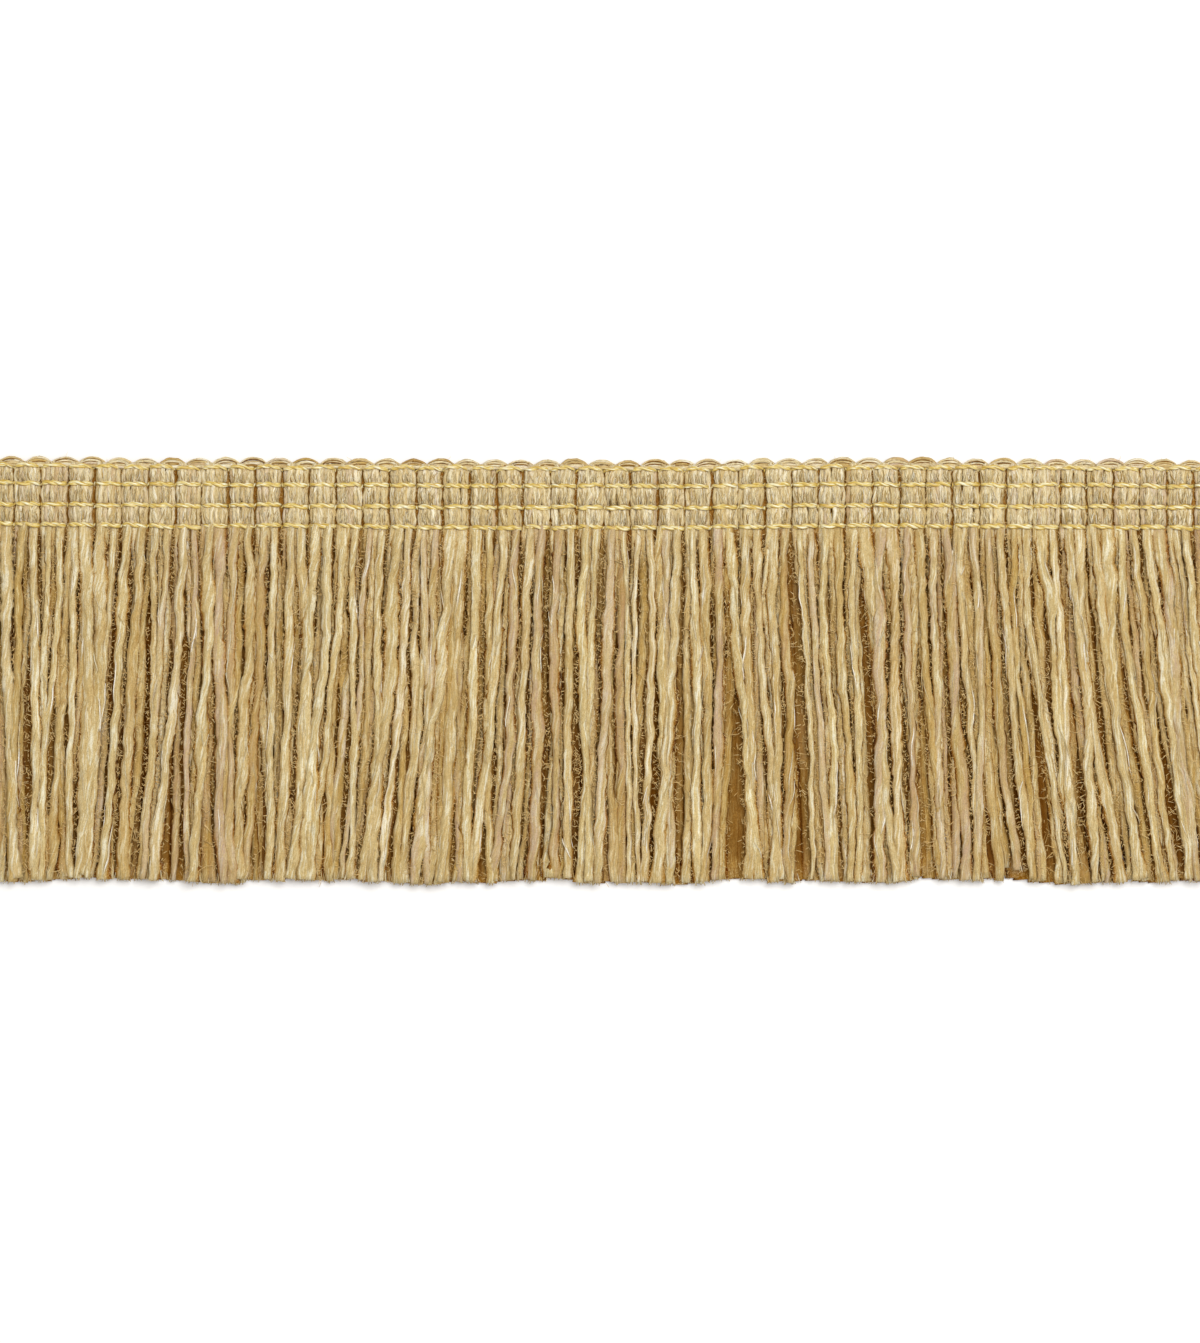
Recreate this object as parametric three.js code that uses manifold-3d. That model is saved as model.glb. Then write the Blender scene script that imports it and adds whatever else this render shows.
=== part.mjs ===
// A cut length of brush fringe trim, lying flat and face up: a ribbed heading of yarn bundles,
// four rows of gold chain stitch across them, and the brush fringe that hangs from the last row.
// Millimetres. X runs along the trim, +Y towards the scalloped edge, +Z up from the surface it lies on.

import * as THREE from "three";
import { mergeVertices } from "three/addons/utils/BufferGeometryUtils.js";
import Module from "manifold-3d";

const wasm = await Module();
wasm.setup();

// Driving dimensions of the trim
const COLUMNS = 46; // yarn bundles along the cut length
const PITCH = 4.8; // from one bundle to the next
const LENGTH = COLUMNS * PITCH;
const FRINGE_LENGTH = 63.5; // 2 1/2 inches, from chain row 4 to the cut edge
const CHAIN_ROWS = [
  { name: "chain_1", y: 10.3, bow: 0.28, dive: 0.5 },
  { name: "chain_2", y: 7.4, bow: 0.1, dive: 0.5 },
  { name: "chain_3", y: 3.6, bow: 0.08, dive: 0.5 },
  { name: "chain_4", y: 0, bow: 0.08, dive: 0.22 },
]; // y is up from chain row 4, bow a stitch's arch towards the scallops, dive its dip at a groove
const SCALLOP_CREST = 12.45; // highest point of the edge above chain row 4
const SCALLOP_DEPTH = 0.9; // crest to notch
const SCALLOP_UNEVEN = 0.3; // how far one crest may lie below another
const PIECE_GAP = 0.3; // between two pieces that touch

// Heading
const CHANNEL_HALF = 0.65; // half width of the trough that a chain row draws into the bundles
const HEADING_FOOT = 0.95; // the heading's lower edge above chain row 4
const RIB = { groove: 1.0, shoulder: 2.2, crown: 2.75 }; // heights between two chain rows
const TROUGH = { groove: 0.8, shoulder: 1.7, crown: 1.75 }; // heights under a chain row
const EDGE_RIDGE = { groove: 2.2, shoulder: 2.15, crown: 1.75 }; // heights along the scallops
const EDGE_LIP = { groove: 0.8, shoulder: 0.78, crown: 0.5 }; // heights at the scallops' outline
const SHOULDER = 0.1; // where a bundle's side ends, as a share of the pitch
const RIDGE_PLACE = 0.55; // the scallops' ridge, as a share of the way up to their outline
const BUNDLE_UNEVEN = 0.12; // how far one bundle's height may differ from another's, as a share

// Chain thread
const THREAD_WIDTH = 0.7;
const THREAD_HEIGHT = 0.6;
const STITCH_SLANT = 0.1; // a stitch starts this much higher than it ends

// Fringe
const STRIP = { top: 0.6, foot: -0.95, height: 1.5 }; // the strip that the strands are fused into
const ROOT_Y = -0.75; // a strand's root inside the strip
const COLUMNS_PER_STRIP_STEP = 2;
const LAYERS = [
  { phase: 0.42, lift: 0, height: 0.95, width: 1.5, sides: 3, stations: [0, 0.05, 1] },
  { phase: 0.08, lift: 1.1, height: 0.95, width: 1.5, sides: 3, stations: [0, 0.05, 0.5, 1] },
  { phase: 0.25, lift: 2.2, height: 1.15, width: 1.55, sides: 4, stations: [0, 0.05, 0.36, 0.68, 1] },
]; // from the surface up; phase is a strand's place across its bundle
const STRANDS_PER_LAYER = 2; // in each bundle
const ROOT = { clear: 0.06, lift: 0.43, height: 0.34, swell: 0.75 }; // pinched under chain row 4
const ROOT_GATHER = 0.86; // strands draw together under chain row 4
const SPREAD_BY = 0.25; // the share of their length by which they have spread again
const WANDER = 0.24; // how far a strand strays sideways
const STOUTNESS = 0.2; // how far one strand's width may differ from another's, as a share
const SLUB = 0.12; // how far a strand's width varies along it, as a share
const TOP_LIFT = 0.3; // how far an upper strand may rise off those below
const LEAN_CURVE = 1.3; // a leaning strand leans more towards its cut end
const FLAT_TOP = 0.5; // width of an upper strand's top, as a share of its foot
const UNEVEN_CUT = 0.45; // how far a strand falls short of the cut edge

// How far the fringe leans: the drift of a strand's cut end, by the place of its root
const LEAN = [
  { x: -112, drift: -1.6 },
  { x: -88, drift: -2.6 },
  { x: -74, drift: -0.9 },
  { x: -54, drift: -1.8 },
  { x: -36, drift: -3.8 },
  { x: -18, drift: -2.6 },
  { x: 2, drift: -0.6 },
  { x: 24, drift: 1.5 },
  { x: 42, drift: 3.1 },
  { x: 60, drift: 2.5 },
  { x: 74, drift: 4.4 },
  { x: 90, drift: 7.4 },
  { x: 112, drift: 6.6 },
];

// How far the band strays from a straight line
const BAND_LINE = [
  { x: -112, dy: 0.5 },
  { x: -70, dy: 0.15 },
  { x: -20, dy: -0.1 },
  { x: 10, dy: -0.2 },
  { x: 45, dy: 0.15 },
  { x: 112, dy: -0.15 },
];

// What scatter() is asked for: each property of a bundle or strand has its own key
const KEY = { crest: 1, bundle: 2, stout: 2, cut: 3, stray: 4, pinch: 9, slub: 10, rise: 20 };

// A repeatable number between 0 and 1 for item i and a property's key
function scatter(i, key) {
  const v = Math.sin(i * 12.9898 + key * 78.233) * 43758.5453;
  return v - Math.floor(v);
}

// A table's column, eased from row to row
function eased(table, x, column) {
  const last = table.length - 1;
  if (x <= table[0].x) return table[0][column];
  if (x >= table[last].x) return table[last][column];
  const next = table.findIndex((row) => row.x > x);
  const a = table[next - 1];
  const b = table[next];
  const t = THREE.MathUtils.smoothstep(x, a.x, b.x);
  return a[column] + (b[column] - a[column]) * t;
}

const bandLine = (x) => eased(BAND_LINE, x, "dy");

// A closed solid through rings of points that all have the same count and turn the same way
function loft(rings) {
  const count = rings[0].length;
  const positions = rings.flat().flatMap((p) => [p.x, p.y, p.z]);
  const index = [];
  for (let r = 0; r + 1 < rings.length; r++) {
    for (let k = 0; k < count; k++) {
      const a = r * count + k;
      const b = r * count + ((k + 1) % count);
      index.push(a, b, b + count, a, b + count, a + count);
    }
  }
  const end = (rings.length - 1) * count;
  for (let k = 1; k + 1 < count; k++) {
    index.push(0, k + 1, k);
    index.push(end, end + k, end + k + 1);
  }
  const geometry = new THREE.BufferGeometry();
  geometry.setAttribute("position", new THREE.Float32BufferAttribute(positions, 3));
  geometry.setIndex(index);
  return geometry;
}

function toSolid(geometry) {
  const bare = geometry.clone();
  bare.deleteAttribute("normal");
  bare.deleteAttribute("uv");
  const merged = mergeVertices(bare);
  return new wasm.Manifold(
    new wasm.Mesh({
      numProp: 3,
      vertProperties: merged.attributes.position.array,
      triVerts: new Uint32Array(merged.index.array),
    }),
  );
}

function toGeometry(solid) {
  const mesh = solid.getMesh();
  const geometry = new THREE.BufferGeometry();
  geometry.setAttribute("position", new THREE.BufferAttribute(mesh.vertProperties, 3));
  geometry.setIndex(new THREE.BufferAttribute(mesh.triVerts, 1));
  return geometry;
}

// The heading's cross stations: groove, shoulder, crown and shoulder of every bundle
function headingStations() {
  const stations = [];
  for (let column = 0; column < COLUMNS; column++) {
    stations.push({ column, share: 0, height: "groove" });
    stations.push({ column, share: SHOULDER, height: "shoulder" });
    stations.push({ column, share: 0.5, height: "crown" });
    stations.push({ column, share: 1 - SHOULDER, height: "shoulder" });
  }
  stations.push({ column: COLUMNS, share: 0, height: "groove" });
  return stations.map((s) => ({ ...s, x: (s.column + s.share) * PITCH - LENGTH / 2 }));
}

// The heading's lines along the trim, from its foot up to the foot of the scallops
function headingLines() {
  const rows = CHAIN_ROWS.map((row) => row.y);
  const lines = [{ y: HEADING_FOOT, profile: TROUGH }];
  for (let r = 2; r >= 0; r--) {
    const below = r === 2 ? HEADING_FOOT : rows[r + 1];
    lines.push({ y: (below + rows[r]) / 2, profile: RIB });
    lines.push({ y: rows[r] - CHANNEL_HALF, profile: TROUGH });
    lines.push({ y: rows[r] + CHANNEL_HALF, profile: TROUGH });
  }
  return lines;
}

// Height of the scalloped outline: the yarn turns over from the middle of one bundle to the next,
// so an arc crests over the groove between them
function scallopLine(column, share) {
  const along = column + share + 0.5;
  const arc = Math.floor(along);
  const away = 2 * (along - arc) - 1;
  const rise = Math.sqrt(Math.max(0, 1 - away * away));
  const uneven = scatter(arc, KEY.crest) * SCALLOP_UNEVEN * rise;
  return SCALLOP_CREST - SCALLOP_DEPTH * (1 - rise) - uneven;
}

// The yarn bundles as one ribbed, scalloped band with a flat back
function headingGeometry() {
  const stations = headingStations();
  const lines = headingLines();
  const topmost = lines[lines.length - 1].y;
  const grid = stations.map((s) => {
    const uneven = s.share > 0 ? BUNDLE_UNEVEN : 0;
    const swell = 1 + (scatter(s.column, KEY.bundle) - 0.5) * uneven;
    const edge = scallopLine(s.column, s.share);
    const all = [
      ...lines.map(({ y, profile }) => ({ y, z: profile[s.height], rib: profile === RIB })),
      { y: topmost + (edge - topmost) * RIDGE_PLACE, z: EDGE_RIDGE[s.height], rib: true },
      { y: edge, z: EDGE_LIP[s.height], rib: false },
    ];
    return all.map((p) => ({ x: s.x, y: p.y + bandLine(s.x), z: p.rib ? p.z * swell : p.z }));
  });
  return ribbedBand(grid);
}

// A closed band under a grid of points, grid[station][line], flat at z = 0
function ribbedBand(grid) {
  const lastStation = grid.length - 1;
  const lastLine = grid[0].length - 1;
  const positions = grid.flat().flatMap((p) => [p.x, p.y, p.z]);
  const index = [];
  const top = (s, l) => s * (lastLine + 1) + l;
  const quad = (a, b, c, d) => index.push(a, b, c, a, c, d);
  for (let s = 0; s < lastStation; s++) {
    for (let l = 0; l < lastLine; l++) {
      quad(top(s, l), top(s + 1, l), top(s + 1, l + 1), top(s, l + 1));
    }
  }
  const rim = [];
  for (let s = 0; s < lastStation; s++) rim.push([s, 0]);
  for (let l = 0; l < lastLine; l++) rim.push([lastStation, l]);
  for (let s = lastStation; s > 0; s--) rim.push([s, lastLine]);
  for (let l = lastLine; l > 0; l--) rim.push([0, l]);
  const footOf = new Map();
  rim.forEach(([s, l]) => {
    footOf.set(top(s, l), positions.length / 3);
    positions.push(grid[s][l].x, grid[s][l].y, 0);
  });
  const foot = (s, l) => footOf.get(top(s, l));
  rim.forEach(([s, l], k) => {
    const [nextS, nextL] = rim[(k + 1) % rim.length];
    quad(top(s, l), foot(s, l), foot(nextS, nextL), top(nextS, nextL));
  });
  for (let s = 1; s < lastStation - 1; s++) {
    quad(foot(s, 0), foot(s, lastLine), foot(s + 1, lastLine), foot(s + 1, 0));
  }
  for (let l = 0; l < lastLine; l++) {
    index.push(foot(1, 0), foot(0, l), foot(0, l + 1));
    index.push(foot(lastStation - 1, lastLine), foot(lastStation, l + 1), foot(lastStation, l));
  }
  index.push(foot(1, 0), foot(0, lastLine), foot(1, lastLine));
  index.push(foot(lastStation - 1, lastLine), foot(lastStation, 0), foot(lastStation - 1, 0));
  const geometry = new THREE.BufferGeometry();
  geometry.setAttribute("position", new THREE.Float32BufferAttribute(positions, 3));
  geometry.setIndex(index);
  return geometry;
}

// One row of chain stitch: it arches over every bundle and dips into the groove beyond it
function chainGeometry(row) {
  const rings = [];
  const crown = TROUGH.crown + PIECE_GAP;
  const addRing = (x, y, z) => {
    const middle = y + bandLine(x);
    rings.push([
      new THREE.Vector3(x, middle - THREAD_WIDTH / 2, z),
      new THREE.Vector3(x, middle + THREAD_WIDTH / 2, z),
      new THREE.Vector3(x, middle, z + THREAD_HEIGHT),
    ]);
  };
  for (let column = 0; column <= COLUMNS; column++) {
    const x = column * PITCH - LENGTH / 2;
    addRing(x, row.y, crown - row.dive);
    if (column === COLUMNS) break;
    addRing(x + SHOULDER * PITCH, row.y + row.bow + STITCH_SLANT / 2, crown);
    addRing(x + (1 - SHOULDER) * PITCH, row.y + row.bow - STITCH_SLANT / 2, crown);
  }
  return loft(rings);
}

// The route of one strand: its middle at each station, at the height of its underside
function strandRoute(column, layer, k) {
  const { phase, lift, height, stations } = LAYERS[layer];
  const id = (column * LAYERS.length + layer) * STRANDS_PER_LAYER + k;
  const share = phase + k / STRANDS_PER_LAYER;
  const middle = (column + 0.5) * PITCH - LENGTH / 2;
  const rootX = middle + (share - 0.5) * PITCH * ROOT_GATHER;
  const freeX = middle + (share - 0.5) * PITCH;
  const drift = eased(LEAN, freeX, "drift");
  const length = FRINGE_LENGTH + ROOT_Y - scatter(id, KEY.cut) * UNEVEN_CUT;
  const pinched = ROOT.clear * (1 + scatter(id, KEY.pinch)) + layer * ROOT.lift;
  const stout = 1 + (scatter(id, KEY.stout) - 0.5) * STOUTNESS;
  const loose = layer === LAYERS.length - 1 ? TOP_LIFT : 0;
  return stations.map((t, j) => {
    const spread = rootX + (freeX - rootX) * Math.min(1, t / SPREAD_BY);
    const stray = j < 2 ? 0 : (scatter(id, KEY.stray + j) - 0.5) * 2 * WANDER;
    return {
      x: spread + drift * Math.pow(t, LEAN_CURVE) + stray,
      y: ROOT_Y - length * t + bandLine(rootX),
      z: j === 0 ? pinched : lift + scatter(id, KEY.rise + j) * loose,
      swell: j === 0 ? ROOT.swell : stout + (scatter(id, KEY.slub + j) - 0.5) * SLUB,
      height: j === 0 ? ROOT.height : height,
    };
  });
}

// A strand: flat underneath, with a ridge, or with a narrow flat top in the upper layer
function strandGeometry(column, layer, k) {
  const { width, sides } = LAYERS[layer];
  const rings = strandRoute(column, layer, k).map((p) => {
    const half = (width * p.swell) / 2;
    const point = (dx, dz) => new THREE.Vector3(p.x + dx, p.y, p.z + dz);
    const foot = [point(-half, 0), point(half, 0)];
    if (sides === 3) return [...foot, point(0, p.height)];
    return [...foot, point(half * FLAT_TOP, p.height), point(-half * FLAT_TOP, p.height)];
  });
  return loft(rings);
}

// The narrow strip that holds the strands' roots, under chain row 4
function stripGeometry() {
  const rings = [];
  for (let column = 0; column <= COLUMNS; column += COLUMNS_PER_STRIP_STEP) {
    const x = column * PITCH - LENGTH / 2;
    const middle = bandLine(x);
    rings.push([
      new THREE.Vector3(x, middle + STRIP.foot, 0),
      new THREE.Vector3(x, middle + STRIP.top, 0),
      new THREE.Vector3(x, middle + STRIP.top, STRIP.height),
      new THREE.Vector3(x, middle + STRIP.foot, STRIP.height),
    ]);
  }
  return loft(rings);
}

function fringeGeometry() {
  const strands = [];
  for (let column = 0; column < COLUMNS; column++) {
    for (let layer = 0; layer < LAYERS.length; layer++) {
      for (let k = 0; k < STRANDS_PER_LAYER; k++) {
        strands.push(toSolid(strandGeometry(column, layer, k)));
      }
    }
  }
  const fused = strands.reduce((whole, strand) => whole.add(strand), toSolid(stripGeometry()));
  return toGeometry(fused);
}

const YARN = new THREE.MeshStandardMaterial({ color: 0xcbb27f, roughness: 0.85, metalness: 0 });
const HEADING_YARN = new THREE.MeshStandardMaterial({ color: 0xc4ae80, roughness: 0.88, metalness: 0 });
const GOLD_THREAD = new THREE.MeshStandardMaterial({ color: 0xdcb95c, roughness: 0.45, metalness: 0 });

function addPiece(parent, name, geometry, material) {
  const mesh = new THREE.Mesh(geometry, material);
  mesh.name = name;
  parent.add(mesh);
}

const trim = new THREE.Group();
addPiece(trim, "heading", headingGeometry(), HEADING_YARN);
CHAIN_ROWS.forEach((row) => addPiece(trim, row.name, chainGeometry(row), GOLD_THREAD));
addPiece(trim, "fringe", fringeGeometry(), YARN);

// The origin is the middle of the trim's outline, on the surface that it lies on
const outline = new THREE.Box3().setFromObject(trim);
const centre = outline.getCenter(new THREE.Vector3());
trim.position.set(-centre.x, -centre.y, -outline.min.z);

export default trim;
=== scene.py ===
"""The looks of a cut length of brush fringe trim, lying flat and face up under soft studio light.

Lengths in the tables are millimetres in the trim's own layout: X along it from its middle, Y up from
chain row 4 to the scallops, Z up from the surface. Meshes are placed in metres in the frame.
"""

import bpy
import numpy as np
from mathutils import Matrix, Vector


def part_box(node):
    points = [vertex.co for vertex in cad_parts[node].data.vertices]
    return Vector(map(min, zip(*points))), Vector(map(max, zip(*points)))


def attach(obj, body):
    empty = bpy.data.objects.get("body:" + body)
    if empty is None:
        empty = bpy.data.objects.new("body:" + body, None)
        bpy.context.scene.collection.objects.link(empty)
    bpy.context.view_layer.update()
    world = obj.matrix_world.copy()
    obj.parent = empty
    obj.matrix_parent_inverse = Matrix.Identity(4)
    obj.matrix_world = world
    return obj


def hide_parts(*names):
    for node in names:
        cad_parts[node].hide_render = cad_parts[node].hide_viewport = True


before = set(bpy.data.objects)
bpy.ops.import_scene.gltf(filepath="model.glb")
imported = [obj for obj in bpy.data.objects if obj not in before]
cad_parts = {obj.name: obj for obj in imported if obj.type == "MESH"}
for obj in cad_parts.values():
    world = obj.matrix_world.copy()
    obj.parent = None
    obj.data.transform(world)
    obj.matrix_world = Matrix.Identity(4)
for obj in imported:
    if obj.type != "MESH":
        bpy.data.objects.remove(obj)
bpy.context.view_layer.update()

MM = 0.001
LOWEST = 0.03  # nothing reaches under this height over the surface
RNG = np.random.default_rng(20)
UP = np.array([0.0, 0.0, 1.0])
ROUGH = 0.04  # unevenness of a yarn's surface, as a share of its radius
ROUGH_FLANK = 0.17  # the same for its hairy flanks
LAY_STARTS = 400  # each yarn's pattern starts somewhere within this length

# Layout, as in the solids
COLUMNS = 46
PITCH = 4.8
LENGTH = COLUMNS * PITCH
FRINGE_LENGTH = 63.5
HEADING_FOOT = 0.95
ROWS = [
    {"name": "chain_1", "y": 10.3, "bow": 0.36, "size": 0.78},
    {"name": "chain_2", "y": 7.4, "bow": 0.1, "size": 1.0},
    {"name": "chain_3", "y": 3.6, "bow": 0.08, "size": 1.0},
    {"name": "chain_4", "y": 0.0, "bow": 0.08, "size": 1.0},
]
SCALLOP_UNEVEN = 0.3
ROOT_Y = -0.75
SPREAD_BY = 0.25
UNEVEN_CUT = 0.45
WANDER = 0.24
LEAN_CURVE = 1.3
STATIONS = [[0, 0.05, 1], [0, 0.05, 0.5, 1], [0, 0.05, 0.36, 0.68, 1]]
KEY = {"crest": 1, "cut": 3, "stray": 4}
LEAN = [
    (-112, -1.6), (-88, -2.6), (-74, -0.9), (-54, -1.8), (-36, -3.8), (-18, -2.6), (2, -0.6),
    (24, 1.5), (42, 3.1), (60, 2.5), (74, 4.4), (90, 7.4), (112, 6.6),
]
BAND_LINE = [(-112, 0.5), (-70, 0.15), (-20, -0.1), (10, -0.2), (45, 0.15), (112, -0.15)]

# The strands of each layer, from the surface up. broad and narrow are a strand's section, and uneven how
# far its size varies. rest is its height over the surface. per_column strands start at phase across their
# bundle, gathered under chain row 4. light is its lightness, lower in the lower layers as painted shade,
# and mottle how far that varies; root_light is the painted lightness under chain row 4. own_lean, draw,
# sway, wave, stray and twist are how much it takes of what leads it away from a straight route. tips is
# the number of fibres at its cut end.
UPPER = {"sway": 1.0, "draw": 1.0, "twist": 1.0, "wave": 1.0, "stray": 1.0, "mottle": 0.07}
LAYERS = [
    {
        "name": "fringe_back", "sides": 6, "rings": 22, "broad": 2.55, "narrow": 1.0, "rest": 0.6,
        "own_lean": 0.15, "per_column": 4, "phase": 0.12, "light": 0.2, "sway": 0.5, "gather": 1.0,
        "draw": 0.0, "twist": 0.0, "wave": 0.4, "stray": 0.5, "root_light": 0.36, "tips": 1, "uneven": 0.05,
        "mottle": 0.15,
    },
    {
        **UPPER, "name": "fringe_middle", "sides": 8, "rings": 52, "broad": 1.85, "narrow": 1.4, "rest": 1.6,
        "own_lean": 1.7, "per_column": 3, "phase": 0.08, "light": 0.62, "gather": 0.85, "root_light": 0.78,
        "tips": 3, "uneven": 0.24,
    },
    {
        **UPPER, "name": "fringe_front", "sides": 9, "rings": 94, "broad": 1.95, "narrow": 1.45, "rest": 2.6,
        "own_lean": 1.9, "per_column": 2, "phase": 0.25, "light": 0.77, "gather": 0.86, "root_light": 0.83,
        "tips": 6, "uneven": 0.24,
    },
]
RIDGES = [(1.0, 2, 4), (0.8, 3, 6)]  # low ridges round a yarn: share of their height, number from and to
RIDGE_WIND = 0.35  # how much they wind over a length of RIDGE_RUN
RIDGE_RUN = 20
TURN = 60  # length of yarn in one turn of its plies
TURN_RANGE = (0.1, 1.3)  # how much of that turning a yarn has
TURN_WAVES = [(0.5, 1, 3)]
ROOT_TOP = 0.2  # where a strand starts, hidden under chain row 4
ROOT_REST = [0.75, 1.0, 1.15]  # each layer's height there
ROOT_SIZE = 1.2  # a strand's width there, as a share of its full width
PINCHED_TO = 0.15  # the share of its length where it has reached its full width
RISEN_BY = 0.07  # the share where it has reached its height
ROOT_LIT_TO = 0.14  # the share where it has its own lightness
RING_EASE = (0.72, 0.28)  # the rings lie closer together near the root
DRAWN = (-0.1, 0.16)  # how far the strands of a column spread or draw together
FREE_STRAY = 0.3  # how far a strand strays from its even place in the column
OWN_LEAN = {"most": 2.2, "curve": 1.4}
COLUMN_WAVE = {"size": (0.05, 0.3), "cycles": (0.5, 1.4), "from": 0.2}  # common to a column's strands
SIDE_WAVES = [(0.26, 0.6, 1.6), (0.13, 2.5, 5), (0.11, 6, 10), (0.05, 14, 22)]  # amount, cycles from and to
BOB_WAVES = [(0.2, 0.8, 2.2), (0.08, 3, 7)]
BACK_BOB = 0.3  # the lowest layer only bobs up, and by this share
WAVE_RANGE = (0.4, 1.3)
WAVE_FROM = 0.12  # waves have their full size from this share of the length
CUT_SAG = {"share": 0.3, "from": 0.92, "over": 0.08}  # the cut ends sink to the surface
CUT_END = {"from": 0.93, "over": 0.07}
FLARE = (0.1, 0.6)  # how much wider a cut end is
CUT_FLAT = 0.3  # and how much flatter
STOUT = (0.55, 1.4)  # the least and most of a strand's size
STOUT_HEIGHT = (0.6, 0.4)  # what of its height is fixed, and what grows with its width
SLUBS = [(0.1, 2, 4), (0.07, 5, 9), (0.04, 12, 20)]
STRAND_LOBES = 0.085
STRAND_PINK = 0.21
RISEN_LIGHT = 0.27  # lighter by this for each millimetre that a strand lies higher: painted light, as a higher strand is less shaded
END_LIGHT = 0.8  # painted lightness of the cut ends, where they catch the light
END_SHARE = 0.85  # how far they reach it
OUTER = {"strands": 2, "light": 0.62, "open": 0.72}  # at both ends of the length, where nothing shades them
CUT_WAVE = [(0.32, 38, 0.4), (0.2, 17, 2.1), (0.14, 9.3, 4.0)]  # amount, length of wave and phase
NOTCH = {"x": 71.9, "reach": 1.7, "depth": 2.0, "floor": 1.3}  # a short strand in the cut edge

# Loose fibres on the fringe. Ranges are from and to; thick is in millimetres.
# white wisps are painted glints: short white fibres that stand for highlights
WISPS = {
    "count": 420, "rings": 14, "sides": 3, "thick": (0.1, 0.24), "long": (0.03, 0.2), "broad": 1.3,
    "around": 1.1, "wind": 2, "turn_least": 0.1, "out": (0.92, 1.12), "white": 0.3, "white_size": 1.5,
    "light": 0.85, "pink": 0.12, "pale": 0.45, "open": 0.85,
}
# lights: the hairs' lightness on the middle and front layers, lower on the middle one as painted shade.
FUZZ = {
    "sides": 3, "lights": {1: 0.7, 2: 0.88}, "open": 0.85, "along": (0.01, 0.99), "out": (0.65, 1.0),
    "up": (0.0, 0.6), "aside": 1.2, "shape": 1.6, "curl": 1.9, "climb": (-0.4, 0.3), "thin": (0.6, 1.2),
    "taper": 0.45,
}
HAIRS = [
    {
        "kind": "short", "counts": {1: 7000, 2: 18000}, "rings": 2, "base": 0.35, "more": 0.2, "most": 1.3,
        "thick": 0.155,
    },
    {
        "kind": "long", "counts": {1: 1500, 2: 3200}, "rings": 4, "base": 0.8, "more": 0.45, "most": 4,
        "thick": 0.15,
    },
]
WIGGLE = {"size": (0.1, 0.7), "cycles": (0.5, 1.6)}
HAIR_LOWEST = 0.08
TIPS = {
    "rings": 4, "sides": 3, "before": -6, "reach": (1.0, 2.2), "past": (0.1, 0.55), "splay": 0.3,
    "aside": 0.9, "up": (-0.2, 0.6), "lowest": 0.12, "thick": (0.14, 0.3), "taper": 0.35, "light": 0.8,
    "pink": 0.06, "pale": 0.3, "open": 0.8,
}

# Heading
CROWN = {"base": 1.75, "swell": 0.9, "fall": 0.75, "fall_from": 10.3, "fall_over": 0.8, "side": 0.5}
SWELL = {"curve": 0.55, "last": 13.4}
BUNDLE = {
    "yarns": 6, "gap": 0.68, "broad": 1.2, "narrow": 1.15, "foot": -0.4, "head": 11.1, "rings": 21,
    "sides": 7, "fan": 0.5, "fan_from": 10.3, "stout": (0.85, 1.15), "plump": (-0.12, 0.12), "sunk": 0.58,
    "turned": 6, "lobes": 0.05, "lobe_length": 12, "light": 0.76, "pink": 0.2, "pale": 0.1, "uneven": 0.07,
}
BUNDLE_SWELL = {"x": (0.96, 0.06), "width": (0.94, 0.06), "height": (0.85, 0.15)}  # fixed, and with swell
BUNDLE_WAVES = [(0.14, 0.8, 2), (0.08, 3, 6)]
BUNDLE_BOB = [(0.07, 1, 3)]
STREAKS = {
    "per_field": 20, "rings": 5, "fields": [(0.1, 3.5), (3.7, 7.3), (7.5, 10.2)], "start": 0.85,
    "askew": 0.18, "most": 0.95, "bow": 0.06, "from": (0, 0.25), "long": (0.45, 0.75), "reach": 2.15,
    "up": (-0.06, 0.1), "thick": (0.1, 0.19), "ends": 0.3, "broad": 1.4, "light": 0.74, "pink": 0.2,
    "pale": 0.3, "uneven": 0.2, "open": 0.85,
}
# The thin arcs, with light 0.0 and 0.1, are dark lines between the others: painted shadow under the raised
# yarns.
ARCS = [
    {"crest": 12.15, "sag": 1.0, "reach": 1.2, "rise": 0.8, "thick": 0.62, "light": 0.7},
    {"crest": 11.9, "sag": 0.88, "reach": 1.15, "rise": 1.15, "thick": 0.26, "light": 0.0},
    {"crest": 11.66, "sag": 0.75, "reach": 1.13, "rise": 1.3, "thick": 0.52, "light": 0.75},
    {"crest": 11.42, "sag": 0.6, "reach": 1.12, "rise": 1.6, "thick": 0.24, "light": 0.1},
    {"crest": 11.15, "sag": 0.45, "reach": 1.1, "rise": 1.6, "thick": 0.56, "light": 0.74},
    {"crest": 10.8, "sag": 0.3, "reach": 1.05, "rise": 1.85, "thick": 0.66, "light": 0.78},
]
ARC_PLACE = -0.45  # an arc crests this far from the groove that it turns over
ARC = {
    "rings": 13, "sides": 6, "first_from": 0.55, "last_to": 0.58, "aside": 0.06, "up": 0.05,
    "bend": (0.25, 0.75), "uneven": (0.9, 1.15), "fall": 0.3, "dive": 0.3, "ends": (0.55, 0.45),
    "full": 1.25, "stout": (0.85, 1.15), "turned": 6, "lobes": 0.08, "lobe_length": 6, "flat": 0.85,
    "open": 0.5,
}
GROUND = {
    "foot": 0.0, "head": 11.2, "per_column": 6, "lines": 12, "under": 0.12, "groove": 1.0, "crown": 1.2,
}
GROUND_SHADE_TONE = [0.36, 0.1, 0.0, 0.38]  # lightness, pinkness, paleness and openness to light: dark and shaded, painted shade deep in the grooves
GROUND_OPEN_END_TONE = [0.7, 0.1, 0.0, 0.8]  # within END_REACH of both ends of the length: lighter and open, the painted shade lifted where the ground lies open at the sides
END_REACH = 0.01
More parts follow.
